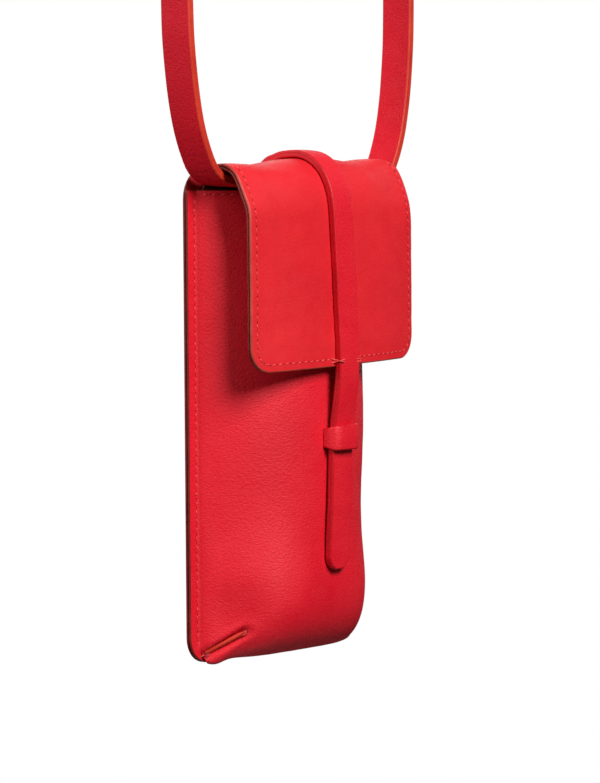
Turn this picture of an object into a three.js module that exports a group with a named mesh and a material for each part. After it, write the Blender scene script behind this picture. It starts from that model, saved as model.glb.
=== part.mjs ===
// Phone wallet case: a padded leather phone pouch on a flat leather neck strap.
// Millimetres, +Z up. X is the width and the front faces -Y.
// Heights are first measured from the bottom edge of the pouch, and "depth" is the distance forward
// of the back face, so depth = -Y. The finished group is then lowered until the inside of the strap's
// top, where the neck carries it, is the origin.
import * as THREE from 'three';

// ---- Driving dimensions ----
const GAP = 0.3; // air between touching pieces

const BODY_HALF_WIDTH = 51;
const BODY_HEIGHT = 190;
const BODY_BOTTOM_RADIUS = 10;
const BODY_TOP_RADIUS = 12;
const LEATHER = 1.0; // back and front panels
const FLANGE_WIDTH = 4; // sewn rim round the pillow of the front panel
const FLANGE_DEPTH = 2 * LEATHER + GAP; // front of the sewn rim
const MOUTH_HEIGHT = 181.6;
const PILLOW_DEPTH = 30.2;
const PILLOW_TURN_HEIGHT = 34; // the front panel turns under below this
const PILLOW_EASE_HEIGHT = 135; // and eases back towards its mouth above this
const MOUTH_EASE = 0.17; // share of the pillow's depth lost at the mouth

const STIFFENER_THICKNESS = 0.6;
const LINING_THICKNESS = 0.5;
const LINING_HALF_WIDTH = 44;
const LINING_BOTTOM = 10;
const LINING_TOP = 186;
const CARD_POCKET_THICKNESS = 0.8;

const FLAP_HALF_WIDTH = 49;
const FLAP_ROOT_HALF_WIDTH = 40;
const FLAP_BOTTOM = 113.5;
const FLAP_CORNER_RADIUS = 9.5;
const FLAP_LAYER = 1.2;
const FLAP_TOP = 193;
const FLAP_FRONT_DEPTH = 33.3; // at the flap's side edges
const FLAP_CROWN = 4.2; // how much further forward its middle stands at the bottom
const FLAP_STITCH_INSET = 3;

const BELT_HALF_WIDTH = 6;
const BELT_THICKNESS = 2.9;
const BELT_REAR_END = 172;
const TAB_END = 32.8;

const KEEPER_BOTTOM = 81;
const KEEPER_TOP = 89.5;
const KEEPER_THICKNESS = 1.3;

const STRAP_WIDTH = 14;
const STRAP_THICKNESS = 3;
const STRAP_DEPTH = 11; // middle of the strap's width
const STRAP_SHIFT = 2.4; // the loop has slid this far to the right in the fold
const STRAP_HEIGHT = 184.2; // middle of its thickness inside the fold
const STRAP_TOP = 545;
const STRAP_TOP_RADIUS = 62;
const LAP_HALF_LENGTH = 16; // the strap's two ends overlap by twice this, inside the fold

const THREAD_WIDTH = 0.6;
const THREAD_HEIGHT = 0.4;
const SIDE_STITCH_INSET = 3.2;
const MOUTH_STITCH_INSET = 2.2;
const BAR_TACK_HEIGHT = 115.6;

const RED = 0xd81a2a;
const DARK_RED = 0xa01020;
const EDGE_PAINT = 0xc8503a;
const LINING_TAN = 0x8c5a48;
const THREAD_RED = 0xe8685a;
const BOARD_GREY = 0x8a8680;

// ---- Small helpers ----
const at = (x, depth, height) => new THREE.Vector3(x, -depth, height);
const clamp01 = (t) => Math.min(1, Math.max(0, t));
const smooth = (t) => clamp01(t) ** 2 * (3 - 2 * clamp01(t));
const spread = (from, to, count) =>
  Array.from({ length: count + 1 }, (_, i) => from + ((to - from) * i) / count);

// A closed geometry from points and triangles, turned so that its faces point out.
function closedGeometry(points, triangles) {
  let volume = 0;
  for (const [a, b, c] of triangles) {
    volume += points[a].dot(points[b].clone().cross(points[c]));
  }
  const faces = volume < 0 ? triangles.map(([a, b, c]) => [a, c, b]) : triangles;
  const geometry = new THREE.BufferGeometry();
  geometry.setFromPoints(points);
  geometry.setIndex(faces.flat());
  geometry.computeVertexNormals();
  return geometry;
}

// Two sheets of the same grid of points, joined round their edges.
function sheetSolid(outer, inner) {
  const rows = outer.length;
  const columns = outer[0].length;
  const points = [...outer.flat(), ...inner.flat()];
  const top = (r, c) => r * columns + c;
  const under = (r, c) => rows * columns + r * columns + c;
  const triangles = [];
  for (let r = 0; r + 1 < rows; r++) {
    for (let c = 0; c + 1 < columns; c++) {
      triangles.push([top(r, c), top(r, c + 1), top(r + 1, c + 1)]);
      triangles.push([top(r, c), top(r + 1, c + 1), top(r + 1, c)]);
      triangles.push([under(r, c), under(r + 1, c + 1), under(r, c + 1)]);
      triangles.push([under(r, c), under(r + 1, c), under(r + 1, c + 1)]);
    }
  }
  const wall = (r1, c1, r2, c2) => {
    triangles.push([top(r1, c1), under(r1, c1), under(r2, c2)]);
    triangles.push([top(r1, c1), under(r2, c2), top(r2, c2)]);
  };
  for (let c = 0; c + 1 < columns; c++) {
    wall(0, c, 0, c + 1);
    wall(rows - 1, c + 1, rows - 1, c);
  }
  for (let r = 0; r + 1 < rows; r++) {
    wall(r + 1, 0, r, 0);
    wall(r, columns - 1, r + 1, columns - 1);
  }
  return closedGeometry(points, triangles);
}

// Four-cornered rings joined one after another, with flat ends.
function ringSolid(rings) {
  const points = rings.flat();
  const triangles = [];
  for (let r = 0; r + 1 < rings.length; r++) {
    for (let k = 0; k < 4; k++) {
      const a = r * 4 + k;
      const b = r * 4 + ((k + 1) % 4);
      triangles.push([a, b, b + 4], [a, b + 4, a + 4]);
    }
  }
  const last = (rings.length - 1) * 4;
  triangles.push([0, 2, 1], [0, 3, 2]);
  triangles.push([last, last + 1, last + 2], [last, last + 2, last + 3]);
  return closedGeometry(points, triangles);
}

// A flat bar laid along a path on a surface, from "low" to "high" above it.
function barOnSurface(path, normals, width, low, high) {
  const rings = path.map((point, i) => {
    const before = path[Math.max(i - 1, 0)];
    const after = path[Math.min(i + 1, path.length - 1)];
    const side = after.clone().sub(before).cross(normals[i]).normalize();
    const corner = (across, up) =>
      point.clone().addScaledVector(side, across * width * 0.5).addScaledVector(normals[i], up);
    return [corner(-1, low), corner(1, low), corner(1, high), corner(-1, high)];
  });
  return ringSolid(rings);
}

const threadOnSurface = (path, normals) =>
  barOnSurface(path, normals, THREAD_WIDTH, GAP, GAP + THREAD_HEIGHT);

// An outline in X and height, from one depth to another.
function plate(outline, nearDepth, farDepth) {
  const geometry = new THREE.ExtrudeGeometry(outline, {
    depth: farDepth - nearDepth,
    bevelEnabled: false,
    curveSegments: 8,
  });
  geometry.rotateX(Math.PI / 2);
  geometry.translate(0, -nearDepth, 0);
  return geometry;
}

function roundedOutline(halfWidth, bottom, top, bottomRadius, topRadius) {
  const outline = new THREE.Shape();
  outline.moveTo(halfWidth - bottomRadius, bottom);
  outline.absarc(halfWidth - bottomRadius, bottom + bottomRadius, bottomRadius, -Math.PI / 2, 0);
  outline.absarc(halfWidth - topRadius, top - topRadius, topRadius, 0, Math.PI / 2);
  outline.absarc(topRadius - halfWidth, top - topRadius, topRadius, Math.PI / 2, Math.PI);
  outline.absarc(bottomRadius - halfWidth, bottom + bottomRadius, bottomRadius, Math.PI, 1.5 * Math.PI);
  return outline;
}

// ---- Materials and meshes ----
const pouch = new THREE.Group();
const flap = new THREE.Group();
const strap = new THREE.Group();

const material = (color, roughness) => new THREE.MeshStandardMaterial({ color, roughness, metalness: 0 });

function addPiece(group, name, geometry, color, roughness = 0.5) {
  const mesh = new THREE.Mesh(geometry, material(color, roughness));
  mesh.name = name;
  group.add(mesh);
}

// ---- Back of the pouch: leather, stiffening board, lining and card pocket ----
function addBack() {
  const backOutline = roundedOutline(
    BODY_HALF_WIDTH, 0, BODY_HEIGHT, BODY_BOTTOM_RADIUS, BODY_TOP_RADIUS,
  );
  addPiece(pouch, 'back_panel', plate(backOutline, 0, LEATHER), RED);

  const boardOutline = roundedOutline(LINING_HALF_WIDTH - 1, LINING_BOTTOM + 1, LINING_TOP - 2, 6, 8);
  const boardDepth = LEATHER + GAP;
  const boardFront = boardDepth + STIFFENER_THICKNESS;
  addPiece(pouch, 'back_stiffener', plate(boardOutline, boardDepth, boardFront), BOARD_GREY, 0.9);

  const liningOutline = roundedOutline(LINING_HALF_WIDTH, LINING_BOTTOM, LINING_TOP, 6, 8);
  const liningDepth = boardFront + GAP;
  const liningFront = liningDepth + LINING_THICKNESS;
  addPiece(pouch, 'back_lining', plate(liningOutline, liningDepth, liningFront), LINING_TAN, 0.9);

  const pocketOutline = roundedOutline(40, 98, 158, 5, 2);
  const pocketDepth = liningFront + GAP;
  const pocketFront = pocketDepth + CARD_POCKET_THICKNESS;
  addPiece(pouch, 'card_pocket', plate(pocketOutline, pocketDepth, pocketFront), DARK_RED);
}

// ---- Front panel: a moulded pillow inside a flat sewn rim ----
const PILLOW_HALF_WIDTH = BODY_HALF_WIDTH - FLANGE_WIDTH;
const PILLOW_CORNER_RADIUS = BODY_BOTTOM_RADIUS - FLANGE_WIDTH;

// Half width at a height, inside an outline with round bottom corners.
function halfWidthAt(height, halfWidth, bottom, radius) {
  const below = Math.min(radius, Math.max(0, bottom + radius - height));
  return halfWidth - radius + Math.sqrt(radius * radius - below * below);
}

const bodyHalfWidthAt = (height) => halfWidthAt(height, BODY_HALF_WIDTH, 0, BODY_BOTTOM_RADIUS);

function pillowHalfWidthAt(height) {
  if (height < FLANGE_WIDTH) {
    return PILLOW_HALF_WIDTH - PILLOW_CORNER_RADIUS - 3 * (1 - height / FLANGE_WIDTH);
  }
  return halfWidthAt(height, PILLOW_HALF_WIDTH, FLANGE_WIDTH, PILLOW_CORNER_RADIUS);
}

// Depth of the front panel's outer face. The section is fuller near the bottom, where the darts box it.
function frontDepth(x, height) {
  const across = Math.abs(x) / pillowHalfWidthAt(height);
  if (height <= FLANGE_WIDTH || across >= 1) {
    return FLANGE_DEPTH;
  }
  const fullness = 3.2 - 0.85 * smooth((height - 15) / 55);
  const under = clamp01((PILLOW_TURN_HEIGHT - height) / (PILLOW_TURN_HEIGHT - FLANGE_WIDTH));
  const ease = 1 - MOUTH_EASE * smooth((height - PILLOW_EASE_HEIGHT) / (MOUTH_HEIGHT - PILLOW_EASE_HEIGHT));
  const rise = (1 - across ** fullness) ** 0.9 * (1 - under ** 3) ** 0.7 * ease;
  return FLANGE_DEPTH + PILLOW_DEPTH * rise;
}

function frontNormal(x, height) {
  const step = 0.4;
  const slopeX = (frontDepth(x + step, height) - frontDepth(x - step, height)) / (2 * step);
  const slopeZ = (frontDepth(x, height + step) - frontDepth(x, height - step)) / (2 * step);
  return new THREE.Vector3(-slopeX, -1, -slopeZ).normalize();
}

const frontPoint = (x, height) => at(x, frontDepth(x, height), height);

// The front panel's grid, sunk by a distance below its outer face.
function frontGrid(heights, acrosses, sink) {
  return heights.map((height) =>
    acrosses.map((across) => {
      const size = Math.abs(across);
      const inner = pillowHalfWidthAt(height);
      const rim = (size - 1) * (bodyHalfWidthAt(height) - inner);
      const x = Math.sign(across) * (size <= 1 ? size * inner : inner + rim);
      return frontPoint(x, height).addScaledVector(frontNormal(x, height), -sink);
    }),
  );
}

const mirrored = (values) => [...values.map((v) => -v).reverse(), 0, ...values];

function addFront() {
  // "Across" runs from 0 in the middle to 1 where the pillow meets the rim, and 2 at the outer edge.
  const acrosses = mirrored([0.16, 0.32, 0.48, 0.64, 0.78, 0.9, 0.97, 1, 1.5, 2]);
  const heights = [0, 2, 4, 5, 7, 10, 14, 19, 26, 34, 52, 76, 104, 132, 158, MOUTH_HEIGHT];
  const outer = frontGrid(heights, acrosses, 0);
  addPiece(pouch, 'front_panel', sheetSolid(outer, frontGrid(heights, acrosses, LEATHER)), RED);

  const liningAcrosses = mirrored([0.16, 0.32, 0.48, 0.64, 0.78, 0.9]);
  const liningHeights = [10, 14, 19, 26, 34, 52, 76, 104, 132, 158, MOUTH_HEIGHT - 2];
  const liningSink = LEATHER + GAP;
  const lining = sheetSolid(
    frontGrid(liningHeights, liningAcrosses, liningSink),
    frontGrid(liningHeights, liningAcrosses, liningSink + LINING_THICKNESS),
  );
  addPiece(pouch, 'front_lining', lining, LINING_TAN, 0.9);
}

// The dart's raised cut edge, running up each bottom corner, and the stitches that lock its top.
function addDart(name, side) {
  const foot = { x: 43.6, height: 5.4 };
  const head = { x: 36, height: 12.2 };
  const { lerp } = THREE.MathUtils;
  const along = (t) => [side * lerp(foot.x, head.x, t), lerp(foot.height, head.height, t)];
  const spots = spread(0, 1, 6).map(along);
  const rib = barOnSurface(
    spots.map(([x, z]) => frontPoint(x, z)), spots.map(([x, z]) => frontNormal(x, z)), 1.7, GAP, GAP + 0.9,
  );
  addPiece(pouch, `dart_${name}`, rib, EDGE_PAINT);

  const lock = [1.12, 1.26].map(along);
  const thread = threadOnSurface(
    lock.map(([x, z]) => frontPoint(x, z)), lock.map(([x, z]) => frontNormal(x, z)),
  );
  addPiece(pouch, `dart_${name}_stitch`, thread, THREAD_RED);
}

// The seam that joins front and back, down one side, along the bottom and up the other.
function addBodySeams() {
  const x = BODY_HALF_WIDTH - SIDE_STITCH_INSET;
  const radius = BODY_BOTTOM_RADIUS - SIDE_STITCH_INSET;
  const corner = { x: BODY_HALF_WIDTH - BODY_BOTTOM_RADIUS, height: BODY_BOTTOM_RADIUS };
  const turn = (side, from, to) =>
    spread(from, to, 4).map((angle) => {
      const away = corner.x + radius * Math.cos(angle);
      return at(side * away, FLANGE_DEPTH, corner.height - radius * Math.sin(angle));
    });
  const path = [
    at(-x, FLANGE_DEPTH, MOUTH_HEIGHT - MOUTH_STITCH_INSET),
    ...turn(-1, 0, Math.PI / 2),
    ...turn(1, Math.PI / 2, 0),
    at(x, FLANGE_DEPTH, MOUTH_HEIGHT - MOUTH_STITCH_INSET),
  ];
  const forward = new THREE.Vector3(0, -1, 0);
  addPiece(pouch, 'body_seam_thread', threadOnSurface(path, path.map(() => forward)), THREAD_RED);

  const mouthEnd = PILLOW_HALF_WIDTH - 1.5;
  const mouth = spread(-mouthEnd, mouthEnd, 24).map((u) => [u, MOUTH_HEIGHT - MOUTH_STITCH_INSET]);
  const thread = threadOnSurface(
    mouth.map(([u, z]) => frontPoint(u, z)), mouth.map(([u, z]) => frontNormal(u, z)),
  );
  addPiece(pouch, 'mouth_thread', thread, THREAD_RED);
}

// The keeper: a low leather bridge on the front panel that the closure tab slides through.
function addKeeper() {
  const half = [[0, 37.5], [3, 37.45], [5, 37.2], [6.7, 36.6], [7.5, 35.2], [7.7, 32.8]];
  const inner = [...half.slice(1).map(([x, depth]) => [-x, depth]).reverse(), ...half];
  const rings = inner.map(([x, depth], i) => {
    const [x0, depth0] = inner[Math.max(i - 1, 0)];
    const [x1, depth1] = inner[Math.min(i + 1, inner.length - 1)];
    const out = new THREE.Vector2(depth0 - depth1, x1 - x0).normalize().multiplyScalar(KEEPER_THICKNESS);
    return [
      at(x, depth, KEEPER_BOTTOM), at(x + out.x, depth + out.y, KEEPER_BOTTOM),
      at(x + out.x, depth + out.y, KEEPER_TOP), at(x, depth, KEEPER_TOP),
    ];
  });
  addPiece(pouch, 'keeper_loop', ringSolid(rings), RED);
}

// ---- Flap: two layers that rise from the back, arch over the strap and hang down the front ----
const FOLD_END_HEIGHT = 172;
const ROOT_HEIGHT = BODY_HEIGHT + GAP;
const flapProfile = new THREE.CurvePath();
const profilePoint = (depth, height) => new THREE.Vector2(depth, height);
flapProfile.add(new THREE.CubicBezierCurve(
  profilePoint(0, ROOT_HEIGHT), profilePoint(0, 192.2),
  profilePoint(2.2, FLAP_TOP), profilePoint(6, FLAP_TOP),
));
flapProfile.add(new THREE.LineCurve(profilePoint(6, FLAP_TOP), profilePoint(18, FLAP_TOP)));
flapProfile.add(new THREE.CubicBezierCurve(
  profilePoint(18, FLAP_TOP), profilePoint(26, FLAP_TOP),
  profilePoint(FLAP_FRONT_DEPTH, 187.5), profilePoint(FLAP_FRONT_DEPTH, FOLD_END_HEIGHT),
));
flapProfile.add(new THREE.LineCurve(
  profilePoint(FLAP_FRONT_DEPTH, FOLD_END_HEIGHT), profilePoint(FLAP_FRONT_DEPTH, FLAP_BOTTOM),
));
const FLAP_LENGTH = flapProfile.getLength();
const FLAP_WIDENS_OVER = 16; // length of leather over which it widens from the root

const flapHalfWidthAt = (length) =>
  THREE.MathUtils.lerp(FLAP_ROOT_HALF_WIDTH, FLAP_HALF_WIDTH, smooth(length / FLAP_WIDENS_OVER));

// A point of the flap's outer face: x, and the length of leather from the root.
function flapPoint(x, length) {
  const { x: depth, y: height } = flapProfile.getPoint(length / FLAP_LENGTH);
  const middle = 1 - (x / FLAP_HALF_WIDTH) ** 2;
  const forward = FLAP_CROWN * clamp01((FLAP_TOP - height) / 70) * middle;
  const up = 1.2 * Math.sin((Math.PI * depth) / FLAP_FRONT_DEPTH) * middle;
  return at(x, depth + forward, height + up);
}

function flapNormal(x, length) {
  const before = Math.max(length - 0.5, 0);
  const after = Math.min(length + 0.5, FLAP_LENGTH);
  const down = flapPoint(x, after).sub(flapPoint(x, before));
  const right = flapPoint(x + 0.5, length).sub(flapPoint(x - 0.5, length));
  return down.cross(right).normalize();
}

const lengthAtHeight = (height) => FLAP_LENGTH - (height - FLAP_BOTTOM);

function flapGrid(sink) {
  const corner = lengthAtHeight(FLAP_BOTTOM + FLAP_CORNER_RADIUS);
  const lengths = spread(0, 46, 15).concat([58, 76, 94, corner]);
  const rows = lengths.map((length) => [length, flapHalfWidthAt(length)]);
  for (const angle of spread(0, Math.PI / 2, 4).slice(1)) {
    const cut = FLAP_CORNER_RADIUS * (1 - Math.cos(angle));
    rows.push([corner + FLAP_CORNER_RADIUS * Math.sin(angle), FLAP_HALF_WIDTH - cut]);
  }
  return rows.map(([length, halfWidth]) =>
    spread(-halfWidth, halfWidth, 10).map((x) =>
      flapPoint(x, length).addScaledVector(flapNormal(x, length), -sink),
    ),
  );
}

function addFlapLeather() {
  addPiece(flap, 'flap_outer', sheetSolid(flapGrid(0), flapGrid(FLAP_LAYER)), RED);
  const liningSink = FLAP_LAYER + GAP;
  const lining = sheetSolid(flapGrid(liningSink), flapGrid(liningSink + FLAP_LAYER));
  addPiece(flap, 'flap_lining', lining, DARK_RED);
}

function addFlapThread(name, side) {
  const edge = FLAP_HALF_WIDTH - FLAP_STITCH_INSET;
  const radius = FLAP_CORNER_RADIUS - FLAP_STITCH_INSET;
  const corner = lengthAtHeight(FLAP_BOTTOM + FLAP_CORNER_RADIUS);
  const spots = spread(20, 46, 10).concat([62, 80, corner]).map((length) => [edge, length]);
  for (const angle of spread(0, Math.PI / 2, 4).slice(1)) {
    spots.push([edge - radius * (1 - Math.cos(angle)), corner + radius * Math.sin(angle)]);
  }
  spots.push([20, corner + radius], [BELT_HALF_WIDTH + 3.4, corner + radius]);
  const path = spots.map(([x, length]) => flapPoint(side * x, length));
  const normals = spots.map(([x, length]) => flapNormal(side * x, length));
  addPiece(flap, `flap_thread_${name}`, threadOnSurface(path, normals), THREAD_RED);
}

// ---- Closure strap: one thick strip, from the back over the fold, down the flap and through the keeper ----
function addClosureStrap() {
  const inward = []; // [depth, height, half width] of the face that lies against the pouch
  for (const height of [BELT_REAR_END, 181, BODY_HEIGHT + GAP]) {
    inward.push([-GAP, height, BELT_HALF_WIDTH]);
  }
  for (const length of spread(2.5, 46, 15).concat([70, lengthAtHeight(FLAP_BOTTOM + 3)])) {
    const point = flapPoint(0, length).addScaledVector(flapNormal(0, length), GAP);
    inward.push([-point.y, point.z, BELT_HALF_WIDTH]);
  }
  for (const [depth, height] of [[36.9, 107], [35.5, 99.5], [34, 92], [33.1, 85], [32.9, 78], [32.9, 58]]) {
    inward.push([depth, height, BELT_HALF_WIDTH]);
  }
  for (const angle of spread(0, 1.4, 5)) {
    const height = TAB_END + BELT_HALF_WIDTH * (1 - Math.sin(angle));
    inward.push([32.9, height, BELT_HALF_WIDTH * Math.cos(angle)]);
  }
  const rings = inward.map(([depth, height, halfWidth], i) => {
    const [depth0, height0] = inward[Math.max(i - 1, 0)];
    const [depth1, height1] = inward[Math.min(i + 1, inward.length - 1)];
    const out = new THREE.Vector2(height0 - height1, depth1 - depth0).normalize();
    const far = [depth + BELT_THICKNESS * out.x, height + BELT_THICKNESS * out.y];
    return [
      at(-halfWidth, depth, height), at(halfWidth, depth, height),
      at(halfWidth, ...far), at(-halfWidth, ...far),
    ];
  });
  addPiece(flap, 'closure_strap', ringSolid(rings), RED);
}

// A bar tack at one edge of the closure strap: it climbs from the flap onto the strap's face.
function addBarTack(name, side) {
  const bar = 0.5;
  const flapFace = -flapPoint(BELT_HALF_WIDTH, lengthAtHeight(BAR_TACK_HEIGHT)).y + GAP;
  const strapFace = flapFace + BELT_THICKNESS + GAP;
  const wall = BELT_HALF_WIDTH + GAP;
  const outline = new THREE.Shape();
  outline.moveTo(side * 2.8, -strapFace);
  for (const [x, depth] of [
    [wall, strapFace], [wall, flapFace], [wall + 2, flapFace], [wall + 2, flapFace + bar],
    [wall + bar, flapFace + bar], [wall + bar, strapFace + bar], [2.8, strapFace + bar],
  ]) {
    outline.lineTo(side * x, -depth);
  }
  outline.closePath();
  const geometry = new THREE.ExtrudeGeometry(outline, { depth: 0.8, bevelEnabled: false });
  geometry.translate(0, 0, BAR_TACK_HEIGHT - 0.4);
  addPiece(flap, `bar_tack_${name}`, geometry, THREAD_RED);
}

// The stitches that hold the closure strap's rear end to the back panel.
function addRearTack() {
  const face = -GAP - BELT_THICKNESS;
  const spots = [[-4, 175], [-4, 183], [4, 183], [4, 175]];
  const path = spots.map(([x, height]) => at(x, face, height));
  const backward = new THREE.Vector3(0, 1, 0);
  addPiece(pouch, 'rear_tack_thread', threadOnSurface(path, path.map(() => backward)), THREAD_RED);
}

// ---- Neck strap: one long strip whose ends overlap inside the fold ----
function strapSide(side) {
  const bend = [
    [33, STRAP_HEIGHT], [44, 184.9], [50, 186.7], [54.6, 190.3], [58, 195.8],
    [62, 205], [65.2, 217], [68, 236], [69, 256], [68.8, 290],
  ];
  const points = bend.map(([x, height]) => [side * x, height]);
  const shoulder = STRAP_TOP - STRAP_THICKNESS / 2 - STRAP_TOP_RADIUS;
  points.push([side * 67, 380], [side * 64, 450]);
  for (const angle of spread(0, Math.PI / 2, 6).slice(0, -1)) {
    points.push([side * STRAP_TOP_RADIUS * Math.cos(angle), shoulder + STRAP_TOP_RADIUS * Math.sin(angle)]);
  }
  return points;
}

function addNeckStrap() {
  const layer = STRAP_THICKNESS + GAP;
  const route = [
    [-LAP_HALF_LENGTH, STRAP_HEIGHT], [0, STRAP_HEIGHT], [18, STRAP_HEIGHT],
    ...strapSide(1), [0, STRAP_TOP - STRAP_THICKNESS / 2], ...strapSide(-1).reverse(),
    [-25, STRAP_HEIGHT + layer / 2], [-17, STRAP_HEIGHT + layer], [0, STRAP_HEIGHT + layer],
    [LAP_HALF_LENGTH, STRAP_HEIGHT + layer],
  ];
  const curve = new THREE.CatmullRomCurve3(
    route.map(([x, height]) => new THREE.Vector3(x + STRAP_SHIFT, 0, height)), false, 'centripetal',
  );
  const steps = 110;
  const rings = spread(0, 1, steps).map((t) => {
    const middle = curve.getPointAt(t);
    const along = curve.getTangentAt(t);
    const out = new THREE.Vector3(along.z, 0, -along.x).multiplyScalar(STRAP_THICKNESS / 2);
    const corner = (across, outward) =>
      at(middle.x + outward * out.x, STRAP_DEPTH + (across * STRAP_WIDTH) / 2, middle.z + outward * out.z);
    return [corner(-1, -1), corner(1, -1), corner(1, 1), corner(-1, 1)];
  });
  addPiece(strap, 'neck_strap', ringSolid(rings), RED);

  const seamHeight = STRAP_HEIGHT + layer + STRAP_THICKNESS / 2;
  const up = new THREE.Vector3(0, 0, 1);
  for (const [name, x] of [['left', -11], ['right', 11]]) {
    const path = spread(-4.5, 4.5, 2).map((across) => at(x + STRAP_SHIFT, STRAP_DEPTH + across, seamHeight));
    addPiece(strap, `strap_seam_thread_${name}`, threadOnSurface(path, path.map(() => up)), THREAD_RED);
  }
}

// ---- Assembly ----
addBack();
addFront();
addDart('left', -1);
addDart('right', 1);
addBodySeams();
addKeeper();
addFlapLeather();
addFlapThread('left', -1);
addFlapThread('right', 1);
addClosureStrap();
addBarTack('left', -1);
addBarTack('right', 1);
addRearTack();
addNeckStrap();

const phoneWalletCase = new THREE.Group();
phoneWalletCase.add(strap, pouch, flap);
phoneWalletCase.position.set(-STRAP_SHIFT, STRAP_DEPTH, STRAP_THICKNESS - STRAP_TOP);

export default phoneWalletCase;
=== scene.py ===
# Phone wallet case: its looks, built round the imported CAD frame.
# Heights are measured from the bottom of the pouch and "depth" forward of its back face, in
# millimetres, as the part's own dimensions are. place() turns them into metres in the frame.
import math
import random

import bmesh
import bpy
import numpy as np
from mathutils import Matrix, Vector


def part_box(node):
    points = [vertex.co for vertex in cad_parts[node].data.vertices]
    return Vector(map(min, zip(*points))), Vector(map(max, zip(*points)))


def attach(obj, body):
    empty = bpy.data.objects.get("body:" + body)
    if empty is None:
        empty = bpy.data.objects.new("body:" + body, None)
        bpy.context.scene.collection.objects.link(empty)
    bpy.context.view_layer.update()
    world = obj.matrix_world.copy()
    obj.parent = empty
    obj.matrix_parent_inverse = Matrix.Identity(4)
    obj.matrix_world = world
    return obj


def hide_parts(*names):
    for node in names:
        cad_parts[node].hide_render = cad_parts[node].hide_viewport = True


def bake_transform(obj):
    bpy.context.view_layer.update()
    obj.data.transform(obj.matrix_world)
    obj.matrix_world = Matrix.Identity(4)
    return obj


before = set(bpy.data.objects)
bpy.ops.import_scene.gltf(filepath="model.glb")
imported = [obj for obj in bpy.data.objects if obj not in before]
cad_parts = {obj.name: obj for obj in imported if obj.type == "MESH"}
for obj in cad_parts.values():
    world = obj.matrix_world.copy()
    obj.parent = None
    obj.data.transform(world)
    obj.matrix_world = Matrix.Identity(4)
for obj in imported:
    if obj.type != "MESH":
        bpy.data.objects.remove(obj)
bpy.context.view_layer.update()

MM = 0.001
GAP = 0.3
SEED = 11

# ---- Where the pouch is, from the frame ----
back_low, back_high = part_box("back_panel")
MIDDLE_X = (back_low[0] + back_high[0]) / 2
BACK_Y = back_high[1]
BOTTOM_Z = back_low[2]
BODY_HALF_WIDTH = (back_high[0] - back_low[0]) / 2 / MM
BODY_HEIGHT = (back_high[2] - back_low[2]) / MM

# ---- Driving dimensions ----
# The part's own, but with proud edges, a lower pillow, a wider leaning flap and a sagging lap joint.
BODY_BOTTOM_RADIUS = 10
BODY_TOP_RADIUS = 12
LEATHER = 1.0
FLANGE_WIDTH = 4
FLANGE_DEPTH = 2 * LEATHER + GAP
MOUTH_HEIGHT = 181.6
PILLOW_DEPTH = 30.2
PILLOW_TURN_HEIGHT = 34
PILLOW_EASE_HEIGHT = 135
MOUTH_EASE = 0.17
BELLY_DROP = 5.7
EDGE_PROUD = 0.9
PILLOW_HALF_WIDTH = BODY_HALF_WIDTH - FLANGE_WIDTH
PILLOW_CORNER_RADIUS = 3
PILLOW_FOOT_TAPER = 3
BOARD_THICKNESS = 0.6
CLOTH_THICKNESS = 0.5
LINING_CLEARANCE = 1.2
POCKET_THICKNESS = 0.8

# Outlines of the back's layers: half width, bottom, top, radius of the lower and of the upper corners
BACK_OUTLINE = (BODY_HALF_WIDTH + EDGE_PROUD, 0, BODY_HEIGHT, BODY_BOTTOM_RADIUS, BODY_TOP_RADIUS)
BOARD_OUTLINE = (43, 11, 184, 6, 8)
LINING_OUTLINE = (44, 10, 186, 6, 8)
POCKET_OUTLINE = (40, 98, 158, 5, 2)

# Soft bulges and hollows of the pillow: size, height and how far it spreads up and down, then the
# distance from the middle line and how far it spreads across
PILLOW_SWELLS = (
    (0.6, 92, 24, 0, math.inf),
    (-1.0, 42, 22, 0, math.inf),
    (-0.6, 44, 22, 36, 9),
    (-2.2, 21, 9, 39, 8),
)

# The lower left corner of the pillow hangs a little fuller than the right one
FULL_CORNER_X = -42.5
FULL_CORNER_SPREAD = 4
FULL_CORNER_SHARE = 0.36

FLAP_HALF_WIDTH = 50
FLAP_LEAN = 0.036
FLAP_ROOT_HALF_WIDTH = 40
FLAP_WIDENS_OVER = 26
FLAP_BOTTOM = 113.5
FLAP_CORNER_RADIUS = 9.5
FLAP_LAYER = 1.2
FLAP_TOP = 193
FLAP_FRONT_DEPTH = 33.3
FLAP_CROWN = 4.2
FLAP_STITCH_INSET = 3
FLAP_TOP_RISE = 1.2
FLAP_DIP_OVER_STRAP = 1.6
FLAP_DIP_AT_ROOT = 2.6
FLAP_EDGE_PULL = 2.65
FLAP_EDGE_PULL_LEAN = 0.011
FLAP_LEFT_PULL = 1.2
FOLD_END_HEIGHT = 172
ROOT_HEIGHT = BODY_HEIGHT + GAP
FOLD_ROLLS_TO_DEPTH = 18

BELT_HALF_WIDTH = 6
BELT_THICKNESS = 2.9
BELT_CROWN = 0.22
BELT_REAR_END = 172
TAB_END = 34
KEEPER_BOTTOM = 81
KEEPER_TOP = 90.8
KEEPER_THICKNESS = 1.3
KEEPER_FOOT_TAPER = 0.9
# Half of the keeper's inner face: distance from the middle line, and depth
KEEPER_HALF_ARCH = [(0, 38.6), (3, 38.5), (5, 38.1), (6.2, 37.2), (6.6, 35.8), (6.6, 33)]

STRAP_HALF_WIDTH = 7
STRAP_THICKNESS = 3
STRAP_CROWN = 0.2
STRAP_CREASE_DEPTH = 0.22
STRAP_DEPTH = 11
STRAP_SHIFT = 2.4
STRAP_HEIGHT = 184.2
STRAP_TOP = 545
STRAP_TOP_RADIUS = 62
LAP_HALF_LENGTH = 16
LAP_SAG = 1.2
LAP_HEIGHT = STRAP_HEIGHT - LAP_SAG
LAP_STITCH_X = 11

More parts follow.
